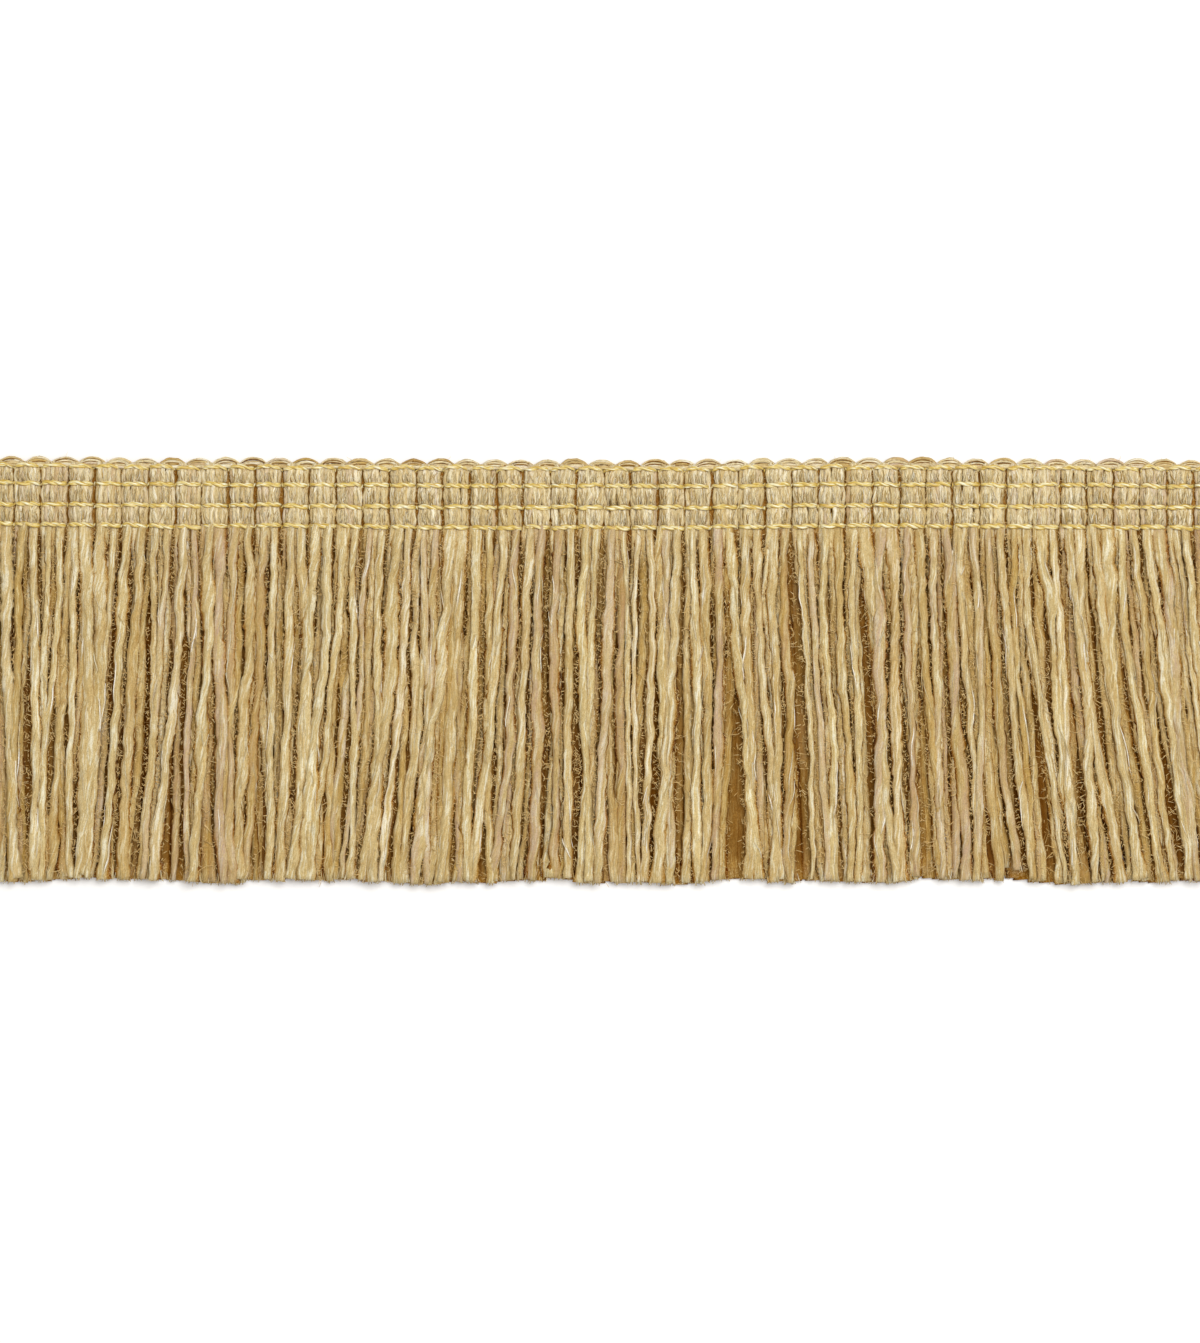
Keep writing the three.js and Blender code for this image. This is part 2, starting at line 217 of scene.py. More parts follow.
HEADING_HAIRS = {
    "count": 1100, "rings": 4, "sides": 3, "beside": 0.55, "y": (0.3, 11.6), "z": (1.3, 2.5),
    "edge_from": 10.6, "edge_z": (0.6, 1.6), "aside": 0.9, "base": 0.4, "shape": 1.5, "more": 0.5,
    "most": 3, "curl": 1.2, "climb": (-0.2, 0.3), "thick": 0.095, "thin": (0.6, 1.3), "taper": 0.6,
    "light": 0.85, "pink": 0.1, "pale": 0.4, "open": 0.85,
}

# Chain stitch
PLY = {"width": 0.68, "offset": 0.19, "turns": 1.15, "rings": 15, "sides": 6, "flat": 0.9}
THREAD_LIGHT = 0.6
THREAD_TOP = 2.15
STITCH_REACH = 2.22
STITCH = {
    "slant": 0.1, "slant_uneven": 0.1, "aside": 0.08, "up": 0.08, "wave": 0.07, "rise": 0.05,
    "turns": (0.75, 1.25), "ends": (0.75, 0.25), "thin_ends": (0.7, 0.3), "stout": (0.9, 1.1),
}
DIVE = {"depth": 1.3, "from": 0.76, "over": 0.24, "curve": 1.5}
LOCK = {
    "rings": 9, "sides": 6, "lean": 0.25, "lean_uneven": 0.3, "aside": 0.1, "long": (0.55, 0.85),
    "low": -0.05, "low_uneven": 0.08, "z": 1.1, "arch": (0.2, 0.5), "thick": (0.3, 0.42), "ends": (0.8, 0.2),
}

# Photograph: 1200 x 1343 pixels, 0.1793 mm a pixel, chain row 4 at y 527 and a groove at x 604
PHOTO = {"width": 1200, "height": 1343, "mm": 0.1793, "row_4_y": 527, "groove_x": 604}
LENS = 150
SENSOR = 36

# Studio
FLOOR = {"size": 4.0, "below": -0.02, "colour": (0.93, 0.93, 0.93), "roughness": 0.9}
KEY_LIGHT = {"place": (0.26, 0.3, 1.15), "size": 0.8, "power": 11}
SKY = {"colour": (1, 0.985, 0.95, 1), "strength": 0.6}


def scatter(i, key):
    """The solids' own even scatter from 0 to 1, by number."""
    v = np.sin(i * 12.9898 + key * 78.233) * 43758.5453
    return v - np.floor(v)


def smoothstep(s):
    s = np.clip(s, 0, 1)
    return s * s * (3 - 2 * s)


def eased(table, x):
    """A table's value at x, eased from row to row."""
    places = np.array([row[0] for row in table], float)
    values = np.array([row[1] for row in table], float)
    x = np.clip(x, places[0], places[-1])
    k = np.clip(np.searchsorted(places, x, side="right") - 1, 0, len(table) - 2)
    s = smoothstep((x - places[k]) / (places[k + 1] - places[k]))
    return values[k] + (values[k + 1] - values[k]) * s


def band_line(x):
    return eased(BAND_LINE, x)


def frame_shift():
    """From the layout to the frame, in millimetres, by where the heading's solid lies."""
    low = np.array(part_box("heading")[0]) / MM
    return np.array([low[0] + LENGTH / 2, low[1] - HEADING_FOOT - min(dy for _, dy in BAND_LINE), 0.0])


SHIFT = frame_shift()


def column_middles(columns):
    return (columns + 0.5) * PITCH - LENGTH / 2


def spread(low, high, *shape):
    return RNG.uniform(low, high, shape)


def stack_path(x, y, z):
    return np.stack(np.broadcast_arrays(x, y, z), axis=-1)


# Meshes

def mesh_object(name, points, faces, attributes, material):
    """A piece from points in layout millimetres and arrays of faces, one array for each face size."""
    mesh = bpy.data.meshes.new(name)
    mesh.vertices.add(len(points))
    mesh.vertices.foreach_set("co", ((points + SHIFT) * MM).astype(np.float32).ravel())
    loops = np.concatenate([f.ravel() for f in faces])
    sizes = np.concatenate([np.full(len(f), f.shape[1]) for f in faces])
    mesh.loops.add(len(loops))
    mesh.loops.foreach_set("vertex_index", loops.astype(np.int32))
    mesh.polygons.add(len(sizes))
    mesh.polygons.foreach_set("loop_start", (np.cumsum(sizes) - sizes).astype(np.int32))
    mesh.update(calc_edges=True)
    mesh.shade_smooth()
    for key, (kind, slot_name, values) in attributes.items():
        layer = mesh.attributes.new(key, kind, "POINT")
        layer.data.foreach_set(slot_name, values.astype(np.float32).ravel())
    mesh.materials.append(material)
    made = bpy.data.objects.new(name, mesh)
    bpy.context.scene.collection.objects.link(made)
    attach(made, "root")
    return made


def unit(v):
    return v / np.maximum(np.linalg.norm(v, axis=-1, keepdims=True), 1e-9)


def directions(centres):
    """Tangent, level across and upward directions along each path."""
    tangent = unit(np.gradient(centres, axis=1))
    across = unit(np.cross(UP, tangent))
    return tangent, across, np.cross(tangent, across)


def tubes(name, centres, width, height, sides, tones, material, lobes=None, twist=None, open_to_light=0.0):
    """Closed tubes through centres[n, ring], as one piece. width and height are the section's, which
    twist turns.

    tones[n] is a tube's own colour mix: lightness, pinkness, paleness. The fourth channel is how much a
    point faces up, which the materials turn into painted shade on a yarn's flanks and underside, and
    open_to_light is the least of it."""
    count, rings = centres.shape[:2]
    _, across, over = directions(centres)
    angle = np.arange(sides) * 2 * np.pi / sides
    radius = np.ones((count, rings, sides))
    if lobes is not None:
        radius += RNG.normal(0, 1, radius.shape) * ROUGH
        along = np.linspace(0, 1, rings)[None, :, None]
        for amount, folds, turns, phase in lobes:
            wave = folds[:, None, None] * angle + turns[:, None, None] * along + phase[:, None, None]
            radius += amount * np.cos(wave)
    broad = radius * np.cos(angle) * (width / 2)[..., None]
    narrow = radius * np.sin(angle) * (height / 2)[..., None]
    turn = np.zeros((count, rings, 1)) if twist is None else twist[..., None]
    level = broad * np.cos(turn) - narrow * np.sin(turn)
    raised = broad * np.sin(turn) + narrow * np.cos(turn)
    crown = 0.5 + 0.5 * raised / np.maximum(np.hypot(level, raised), 1e-6)
    if lobes is not None:
        level = level * (1 + RNG.normal(0, ROUGH_FLANK, level.shape) * np.clip(1.6 - 1.8 * crown, 0, 1))
    points = centres[:, :, None] + across[:, :, None] * level[..., None]
    points = points + over[:, :, None] * raised[..., None]
    points[..., 2] = np.maximum(points[..., 2], LOWEST)
    length = np.cumsum(np.linalg.norm(np.diff(centres, axis=1, prepend=centres[:, :1]), axis=2), axis=1)
    start = spread(0, LAY_STARTS, count, 1, 1)
    lay = np.stack([broad + start, length[:, :, None] + start + 0 * broad, narrow + start], axis=-1)
    tone = np.ones((count, rings, sides, 4))
    tone[..., :3] = tones[:, None, None, :] if tones.ndim == 2 else tones[:, :, None, :]
    tone[..., 3] = open_to_light + (1 - open_to_light) * crown
    first = (np.arange(count) * rings * sides)[:, None, None]
    ring = (np.arange(rings - 1) * sides)[None, :, None]
    a = first + ring + np.arange(sides)
    b = first + ring + (np.arange(sides) + 1) % sides
    quads = np.stack([a, b, b + sides, a + sides], axis=-1).reshape(-1, 4)
    heads = first[:, 0] + np.arange(sides)[::-1]
    tails = first[:, 0] + (rings - 1) * sides + np.arange(sides)
    attributes = {
        "lay": ("FLOAT_VECTOR", "vector", lay.reshape(-1, 3)),
        "tone": ("FLOAT_COLOR", "color", tone.reshape(-1, 4)),
    }
    return mesh_object(name, points.reshape(-1, 3), [quads, heads, tails], attributes, material)


def yarn_lobes(count, amount, length):
    """Low ridges that wind slowly round a yarn, as its plies do."""
    return [
        (
            amount * scale,
            RNG.integers(low, high, count),
            RNG.normal(0, RIDGE_WIND, count) * length / RIDGE_RUN,
            spread(0, 2 * np.pi, count),
        )
        for scale, low, high in RIDGES
    ]


def yarn_twist(count, t, length):
    """The turning of a yarn's flattened section, the same way in every yarn and never quite even."""
    turns = length / TURN * spread(*TURN_RANGE, count, 1)
    return spread(0, 2 * np.pi, count, 1) + 2 * np.pi * turns * t + waves(count, t, TURN_WAVES)


def yarn_tones(count, light, pink=0.12, pale=0.1, uneven=0.14):
    """Lightness, pinkness and paleness of each yarn."""
    lightness = np.clip(RNG.normal(light, uneven, count), 0, 1)
    is_pink = RNG.random(count) < pink
    is_pale = (RNG.random(count) < pale) & ~is_pink
    pinkness = np.where(is_pink, spread(0.6, 1.0, count), spread(0, 0.2, count))
    paleness = np.where(is_pale, spread(0.2, 0.5, count), spread(0, 0.12, count))
    return np.stack([lightness, pinkness, paleness], axis=1)


def waves(count, t, rows):
    """Sideways waves that start from nothing: rows of amount, and cycles from and to."""
    total = np.zeros((count, len(t)))
    for amount, low, high in rows:
        cycles = spread(low, high, count, 1)
        phase = spread(0, 2 * np.pi, count, 1)
        size = amount * spread(*WAVE_RANGE, count, 1)
        total += size * (np.sin(2 * np.pi * cycles * t + phase) - np.sin(phase))
    return total * smoothstep(t / WAVE_FROM)


# Materials

def principled(name):
    material = bpy.data.materials.new(name)
    material.use_nodes = True
    return material, material.node_tree, material.node_tree.nodes["Principled BSDF"]


def feed(tree, socket, value):
    if hasattr(value, "links"):
        tree.links.new(value, socket)
    else:
        socket.default_value = value


def attribute(tree, name):
    node = tree.nodes.new("ShaderNodeAttribute")
    node.attribute_name = name
    return node


def ramp(tree, source, stops):
    node = tree.nodes.new("ShaderNodeValToRGB")
    elements = node.color_ramp.elements
    while len(elements) < len(stops):
        elements.new(0.5)
    for element, (place, colour) in zip(elements, stops):
        element.position = place
        element.color = (*colour, 1)
    tree.links.new(source, node.inputs[0])
    return node.outputs[0]


def between(tree, source, low, high):
    node = tree.nodes.new("ShaderNodeMapRange")
    node.inputs["From Min"].default_value = low
    node.inputs["From Max"].default_value = high
    tree.links.new(source, node.inputs["Value"])
    return node.outputs[0]


def stretched_noise(tree, lay, scale, detail, distortion=0.4):
    """Noise in the yarn's own directions: scale is cycles per millimetre across, along and up."""
    stretch = tree.nodes.new("ShaderNodeVectorMath")
    stretch.operation = "MULTIPLY"
    stretch.inputs[1].default_value = scale
    tree.links.new(lay, stretch.inputs[0])
    noise = tree.nodes.new("ShaderNodeTexNoise")
    noise.inputs["Scale"].default_value = 1
    noise.inputs["Detail"].default_value = detail
    noise.inputs["Roughness"].default_value = 0.6
    noise.inputs["Distortion"].default_value = distortion
    tree.links.new(stretch.outputs[0], noise.inputs["Vector"])
    return noise.outputs["Fac"]


def mix_colour(tree, factor, a, b, blend="MIX"):
    node = tree.nodes.new("ShaderNodeMix")
    node.data_type = "RGBA"
    node.blend_type = blend
    for socket, value in ((node.inputs[0], factor), (node.inputs[6], a), (node.inputs[7], b)):
        feed(tree, socket, value)
    return node.outputs[2]


def tinted(tree, colour, tint):
    return mix_colour(tree, 1.0, colour, tint, "MULTIPLY")


def times(tree, a, b):
    node = tree.nodes.new("ShaderNodeMath")
    node.operation = "MULTIPLY"
    node.use_clamp = True
    feed(tree, node.inputs[0], a)
    feed(tree, node.inputs[1], b)
    return node.outputs[0]


def add_bump(tree, shader, sources):
    normal = None
    for height, distance in sources:
        node = tree.nodes.new("ShaderNodeBump")
        node.inputs["Strength"].default_value = 1
        node.inputs["Distance"].default_value = distance * MM
        tree.links.new(height, node.inputs["Height"])
        if normal is not None:
            tree.links.new(normal, node.inputs["Normal"])
        normal = node.outputs[0]
    tree.links.new(normal, shader.inputs["Normal"])


# A yarn's lightness as a tint, deep and saturated at the low end, where it carries painted shade as well as
# the yarn's own tone.
LIGHTNESS = [
    (0.0, (0.28, 0.14, 0.03)), (0.25, (0.44, 0.29, 0.12)), (0.5, (0.79, 0.655, 0.4)), (0.8, (1.0, 1.0, 1.0)),
    (1.0, (1.04, 1.06, 1.1)),
]


def yarn_material(name, stops, painted_shade_stops, pink, pale, bump, curl_scale):
    """Spun yarn: fibre streaks along it, slow drifts of colour, pinkish and pale fibres, a fibrous bump, and
    painted shade on its flanks and underside, broken by curled patches of painted light.
    """
    material, tree, shader = principled(name)
    lay = attribute(tree, "lay").outputs["Vector"]
    tone = attribute(tree, "tone")
    split = tree.nodes.new("ShaderNodeSeparateColor")
    tree.links.new(tone.outputs["Color"], split.inputs[0])
    fibres = stretched_noise(tree, lay, (2.6, 0.2, 2.6), 3, distortion=0.3)
    drift = stretched_noise(tree, lay, (0.6, 0.07, 0.6), 2)
    hairs = stretched_noise(tree, lay, (8, 0.55, 8), 2)
    colour = ramp(tree, fibres, stops)
    drifts = ramp(tree, drift, [(0.3, (0.88, 0.84, 0.78)), (0.7, (1.08, 1.08, 1.08))])
    colour = tinted(tree, colour, drifts)
    single = ramp(tree, hairs, [(0.36, (0.86, 0.82, 0.74)), (0.62, (1.06, 1.07, 1.1))])
    colour = tinted(tree, colour, single)
    pinkness = times(tree, split.outputs[1], between(tree, drift, 0.38, 0.56))
    pinkness = times(tree, pinkness, between(tree, hairs, 0.3, 0.6))
    colour = mix_colour(tree, pinkness, colour, pink)
    paleness = times(tree, split.outputs[2], between(tree, fibres, 0.42, 0.62))
    colour = mix_colour(tree, paleness, colour, pale)
    lightness = ramp(tree, split.outputs[0], LIGHTNESS)
    colour = tinted(tree, colour, lightness)
    curls = stretched_noise(tree, lay, curl_scale, 2, distortion=2.2)
    wool = ramp(tree, curls, [(0.4, (0.76, 0.69, 0.56)), (0.58, (1.07, 1.08, 1.1))])
    colour = tinted(tree, colour, wool)
    # Painted shade: the ramp darkens a yarn's flanks and underside by the tone's fourth channel, and curled
    # patches take back the lit colour as painted light on stray hairs.
    lit = tinted(tree, colour, (0.96, 0.83, 0.6, 1))
    painted_shade = ramp(tree, tone.outputs["Alpha"], painted_shade_stops)
    colour = tinted(tree, colour, painted_shade)
    curled = times(tree, 0.75, between(tree, curls, 0.5, 0.6))
    colour = mix_colour(tree, curled, colour, lit)
    tree.links.new(colour, shader.inputs["Base Color"])
    shader.inputs["Roughness"].default_value = 0.85
    shader.inputs["IOR"].default_value = 1.03
    shader.inputs["Sheen Weight"].default_value = 0.02
    shader.inputs["Sheen Roughness"].default_value = 0.5
    shader.inputs["Sheen Tint"].default_value = (0.9, 0.55, 0.2, 1)
    add_bump(tree, shader, [(fibres, bump), (curls, 0.5 * bump)])
    return material


def thread_material():
    """Glossy golden thread with painted highlights, pale where its filaments would catch the light and deep
    yellow where they turn away, and painted shade on its flanks and underside.
    """
    material, tree, shader = principled("gold_thread")
    lay = attribute(tree, "lay").outputs["Vector"]
    tone = attribute(tree, "tone")
    fibres = stretched_noise(tree, lay, (5, 0.6, 5), 2)
    # Painted highlights: the fibre noise turns pale at its high end.
    stops = [(0.34, (0.5, 0.3, 0.035)), (0.5, (0.69, 0.52, 0.13)), (0.64, (0.83, 0.8, 0.58))]
    colour = ramp(tree, fibres, stops)
    painted_shade = ramp(tree, tone.outputs["Alpha"], [(0.4, (0.5, 0.26, 0.03)), (0.78, (1, 1, 1))])
    colour = tinted(tree, colour, painted_shade)
    tree.links.new(colour, shader.inputs["Base Color"])
    shader.inputs["Roughness"].default_value = 0.34
    shader.inputs["Specular IOR Level"].default_value = 0.6
    shader.inputs["Sheen Weight"].default_value = 0.1
    shader.inputs["Sheen Tint"].default_value = (1, 0.85, 0.5, 1)
    add_bump(tree, shader, [(fibres, 0.06)])
    return material


def plain_material(name, colour, roughness):
    material, _, shader = principled(name)
    shader.inputs["Base Color"].default_value = (*colour, 1)
    shader.inputs["Roughness"].default_value = roughness
    return material


# Fringe

def stray_along(ident, stations, t):
    """How far each strand strays at t: the solids' stations, joined smoothly."""
    knots = np.stack([
        np.zeros(len(ident)) if j < 2 else (scatter(ident, KEY["stray"] + j) - 0.5) * 2 * WANDER
        for j in range(len(stations))
    ], axis=1)
    places = np.array(stations, float)
    k = np.clip(np.searchsorted(places, t, side="right") - 1, 0, len(places) - 2)
    s = smoothstep((t - places[k]) / (places[k + 1] - places[k]))
    return knots[:, k] + (knots[:, k + 1] - knots[:, k]) * s


def strand_paths(layer, sway):
    """One layer's strands: their paths and, for each ring, how far along it is. They follow the solids'
    routes with waves of their own. sway is each column's common wave."""
    look = LAYERS[layer]
    count = COLUMNS * look["per_column"]
    column, k = np.divmod(np.arange(count), look["per_column"])
    ident = (column * len(LAYERS) + layer) * 2 + k
    share = look["phase"] + k / look["per_column"]
    middle = column_middles(column)
    root_x = middle + (share - 0.5) * PITCH * look["gather"]
    draw = 1 - look["draw"] * spread(*DRAWN, COLUMNS)[column]
    free_x = middle + (share - 0.5) * PITCH * draw + look["wave"] * RNG.normal(0, FREE_STRAY, count)
    drift = eased(LEAN, middle)
    length = FRINGE_LENGTH + ROOT_Y - scatter(ident, KEY["cut"]) * UNEVEN_CUT
    foot_x = free_x + drift
    for amount, run, phase in CUT_WAVE:
        length = length + amount * np.sin(2 * np.pi * foot_x / run + phase)
    beside = np.abs(foot_x - NOTCH["x"]) / NOTCH["reach"]
    length = length - NOTCH["depth"] * np.clip(NOTCH["floor"] - beside, 0, 1)
    s = np.linspace(0, 1, look["rings"])
    t = s * (RING_EASE[0] + RING_EASE[1] * s)
    fan = root_x[:, None] + (free_x - root_x)[:, None] * smoothstep(t / SPREAD_BY)
    own = np.clip(RNG.normal(0, 1, count), -OWN_LEAN["most"], OWN_LEAN["most"])[:, None]
    own = own * look["own_lean"] * t ** OWN_LEAN["curve"]
    x = fan + drift[:, None] * t ** LEAN_CURVE + look["stray"] * stray_along(ident, STATIONS[layer], t) + own
    x = x + look["sway"] * sway(t)[column] + look["wave"] * waves(count, t, SIDE_WAVES)
    line = band_line(root_x)[:, None]
    y = ROOT_TOP + line + (ROOT_Y - length[:, None] - ROOT_TOP) * t
    bob = waves(count, t, BOB_WAVES)
    sag = smoothstep((t - CUT_SAG["from"]) / CUT_SAG["over"])
    rest = look["rest"] + (bob if layer else np.abs(bob) * BACK_BOB) - CUT_SAG["share"] * look["rest"] * sag
    z = ROOT_REST[layer] + (rest - ROOT_REST[layer]) * smoothstep(t / RISEN_BY)
    return stack_path(x, y, z), t


def at_cut_end(t):
    return smoothstep((t - CUT_END["from"]) / CUT_END["over"])


def strand_sizes(layer, count, t):
    look = LAYERS[layer]
    stout = np.clip(RNG.normal(1, look["uneven"], (count, 1)), *STOUT)
    slubs = 1 + waves(count, t, SLUBS)
    tip = at_cut_end(t)
    flare = 1 + tip * spread(*FLARE, count, 1)
    pinch = ROOT_SIZE + (1 - ROOT_SIZE) * smoothstep(t / PINCHED_TO)
    width = look["broad"] * stout * slubs * flare * pinch
    height = look["narrow"] * (STOUT_HEIGHT[0] + STOUT_HEIGHT[1] * stout) * slubs * (1 - CUT_FLAT * tip)
    return width, height


def strand_tones(look, centres, t):
    """Each strand's colour along it, with painted shade and light: by its layer, lighter where it rises and
    at its cut end.
    """
    tones = yarn_tones(len(centres), look["light"], pink=STRAND_PINK, uneven=look["mottle"])
    tones = np.repeat(tones[:, None], len(t), axis=1)
    at_root = 1 - smoothstep(t / ROOT_LIT_TO)
    at_end = at_cut_end(t)
    risen = (centres[..., 2] - look["rest"]) * (1 - at_root) * (1 - at_end)
    tones[..., 0] += (look["root_light"] - look["light"]) * at_root + RISEN_LIGHT * risen
    tones[..., 0] += END_SHARE * (END_LIGHT - look["light"]) * at_end
    return tones


def build_fringe(material):
    """The three layers of strands. Returns the pieces and each layer's paths."""
    pieces = []
    paths = []
    size = spread(*COLUMN_WAVE["size"], COLUMNS, 1)
    cycles = spread(*COLUMN_WAVE["cycles"], COLUMNS, 1)
    phase = spread(0, 2 * np.pi, COLUMNS, 1)

    def sway(t):
        wave = np.sin(2 * np.pi * cycles * t + phase) - np.sin(phase)
        return size * wave * smoothstep(t / COLUMN_WAVE["from"])

    for layer, look in enumerate(LAYERS):
        centres, t = strand_paths(layer, sway)
        count = len(centres)
        width, height = strand_sizes(layer, count, t)
        twist = yarn_twist(count, t, FRINGE_LENGTH) * look["twist"]
        tones = strand_tones(look, centres, t)
        # Outer strands: painted lighter and less shaded at both ends of the length.
        outer = np.minimum(np.arange(count), np.arange(count)[::-1]) < OUTER["strands"]
        tones[outer, :, 0] = np.maximum(tones[outer, :, 0], OUTER["light"])
        open_to_light = np.where(outer, OUTER["open"], 0.0)[:, None, None]
        lobes = yarn_lobes(count, STRAND_LOBES, FRINGE_LENGTH)
        piece = tubes(
            look["name"], centres, width, height, look["sides"], tones, material,
            lobes=lobes, twist=twist, open_to_light=open_to_light,
        )
        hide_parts("fringe")
        pieces.append(piece)
        paths.append({"centres": centres, "radius": (width + height) / 4, "t": t, "tips": look["tips"]})
    return pieces, paths


def tapered(s, ends=0.25):
    """Full size at a fibre's middle, and the share ends of it at its ends."""
    return ends + (1 - ends) * np.sin(np.pi * s) ** 0.6


def along_paths(path, strand, t):
    """Points and radii at t[n, ring] along the chosen strands."""
    points = np.empty((*t.shape, 3))
    radius = np.empty(t.shape)
    for n, i in enumerate(strand):
        for axis in range(3):
            points[n, :, axis] = np.interp(t[n], path["t"], path["centres"][i, :, axis])
        radius[n] = np.interp(t[n], path["t"], path["radius"][i])
    return points, radius


def build_wisps(paths, material):
    """Loose fibre ends of the roving that lie along the upper strands: painted lighter, as they catch the
    light, and the white ones are painted glints.
    """
    count = WISPS["count"]
    path = paths[-1]
    strand = RNG.integers(0, len(path["centres"]), count)
    span = spread(*WISPS["long"], count, 1)
    begin = spread(0, 1, count, 1) * (1 - span)
    s = np.linspace(0, 1, WISPS["rings"])[None]
    points, radius = along_paths(path, strand, begin + span * s)
    _, across, over = directions(points)
    turn = np.pi / 2 + spread(-WISPS["around"], WISPS["around"], count, 1)
    turn = turn + spread(-WISPS["wind"], WISPS["wind"], count, 1) * (s - 0.5)
    turn = np.clip(turn, WISPS["turn_least"], np.pi - WISPS["turn_least"])
    out = radius * spread(*WISPS["out"], count, 1)
    points = points + across * (np.cos(turn) * out)[..., None] + over * (np.sin(turn) * out)[..., None]
    size = spread(*WISPS["thick"], count, 1) * tapered(s)
    tones = yarn_tones(count, WISPS["light"], pink=WISPS["pink"], pale=WISPS["pale"])
    is_glint = RNG.random(count) < WISPS["white"]
    tones[is_glint] = [1, 0, 1]
    size = size * np.where(is_glint, WISPS["white_size"], 1)[:, None]
    width = size * WISPS["broad"]
    piece = tubes(
        "fringe_wisps", points, width, size, WISPS["sides"], tones, material, open_to_light=WISPS["open"]
    )
    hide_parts("fringe")
    return piece


def hair_paths(start, heading, length, curl, climb, rings):
    """Curling hairs from start points: heading is an angle in plan, curl in radians per millimetre."""
    s = np.linspace(0, 1, rings)[None]
    count = len(start)
    size = spread(*WIGGLE["size"], count, 1)
    cycles = spread(*WIGGLE["cycles"], count, 1)
    wiggle = size * np.sin(2 * np.pi * (cycles * s + spread(0, 1, count, 1)))
    angle = heading[:, None] + curl[:, None] * length[:, None] * s + wiggle
    step = length[:, None] / (rings - 1)
    x = start[:, :1] + np.cumsum(np.cos(angle) * step, axis=1)
    y = start[:, 1:2] + np.cumsum(np.sin(angle) * step, axis=1)
    z = np.maximum(start[:, 2:] + climb[:, None] * length[:, None] * s, HAIR_LOWEST)
    return np.stack([x, y, z], axis=-1)


def strand_hairs(path, layer, hairs):
    """Hairs of one kind on a layer's strands: their paths and sizes."""
    number = hairs["counts"][layer]
    strand = RNG.integers(0, len(path["centres"]), number)
    points, radius = along_paths(path, strand, spread(*FUZZ["along"], number, 1))
    side = np.where(RNG.random(number) < 0.5, -1.0, 1.0)
    start = points[:, 0]
    start[:, 0] += side * radius[:, 0] * spread(*FUZZ["out"], number)
    start[:, 2] += radius[:, 0] * spread(*FUZZ["up"], number)
    heading = np.where(side > 0, 0.0, np.pi) + spread(-FUZZ["aside"], FUZZ["aside"], number)
    length = np.minimum(hairs["base"] + RNG.gamma(FUZZ["shape"], hairs["more"], number), hairs["most"])
    curl = RNG.normal(0, FUZZ["curl"], number)
    climb = spread(*FUZZ["climb"], number)
    centres = hair_paths(start, heading, length, curl, climb, hairs["rings"])
    s = np.linspace(0, 1, hairs["rings"])[None]
    return centres, hairs["thick"] * spread(*FUZZ["thin"], number, 1) * (1 - FUZZ["taper"] * s)


def build_fuzz(paths, material):
    """Hairs that stand off the flanks of the upper strands into the gaps: many short ones, a few long."""
    pieces = []
    for layer, light in FUZZ["lights"].items():
        for hairs in HAIRS:
            centres, size = strand_hairs(paths[layer], layer, hairs)
            tones = yarn_tones(len(centres), light, pink=0.0, pale=0.0)
            name = LAYERS[layer]["name"] + "_" + hairs["kind"] + "_hairs"
            piece = tubes(
                name, centres, size, size, FUZZ["sides"], tones, material, open_to_light=FUZZ["open"]
            )
            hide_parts("fringe")
            pieces.append(piece)
    return pieces


def build_tips(paths, material):
    """The cut ends: fibres that splay a little beyond each strand's end."""
    parts = []
    for path in paths:
        strand = np.repeat(np.arange(len(path["centres"])), path["tips"])
        end = path["centres"][strand, -1]
        before = path["centres"][strand, TIPS["before"]]
        radius = path["radius"][strand, -1]
        count = len(strand)
        place = spread(-1, 1, count)
        way = unit(end - before)
        s = np.linspace(-1, 1, TIPS["rings"])[None]
        reach = spread(*TIPS["reach"], count, 1)
        past = spread(*TIPS["past"], count, 1)
        run = np.where(s < 0, s * reach, s * past)
        splay = (place * radius)[:, None] * (TIPS["aside"] + TIPS["splay"] * (s + 1))
        x = end[:, :1] + splay + way[:, :1] * run
        y = end[:, 1:2] + way[:, 1:2] * run
        z = end[:, 2:] + (radius * spread(*TIPS["up"], count))[:, None] + 0 * s
        parts.append(stack_path(x, y, np.maximum(z, TIPS["lowest"])))
    centres = np.concatenate(parts)
    size = spread(*TIPS["thick"], len(centres), 1)
    size = size * (1 - TIPS["taper"] * np.abs(np.linspace(-1, 1, TIPS["rings"])[None]))
    tones = yarn_tones(len(centres), TIPS["light"], pink=TIPS["pink"], pale=TIPS["pale"])
    piece = tubes(
        "fringe_tips", centres, size, size, TIPS["sides"], tones, material, open_to_light=TIPS["open"]
    )
    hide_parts("fringe")
    return piece


# Heading

def cushion(y):
    """From 0 under a chain row to 1 midway between two: how far the bundles swell."""
    rows = np.array([row["y"] for row in ROWS][::-1] + [SWELL["last"]])
    k = np.clip(np.searchsorted(rows, y, side="right") - 1, 0, len(rows) - 2)
    s = np.clip((y - rows[k]) / (rows[k + 1] - rows[k]), 0, 1)
    return np.sin(np.pi * s) ** SWELL["curve"]


def bundle_crown(y, side):
    """Height of a bundle's upper surface: swollen between the chain rows, falling away to its sides."""
    top = CROWN["base"] + CROWN["swell"] * cushion(y)
    top = top - CROWN["fall"] * smoothstep((y - CROWN["fall_from"]) / CROWN["fall_over"])
    return top - CROWN["side"] * np.abs(side) ** 3


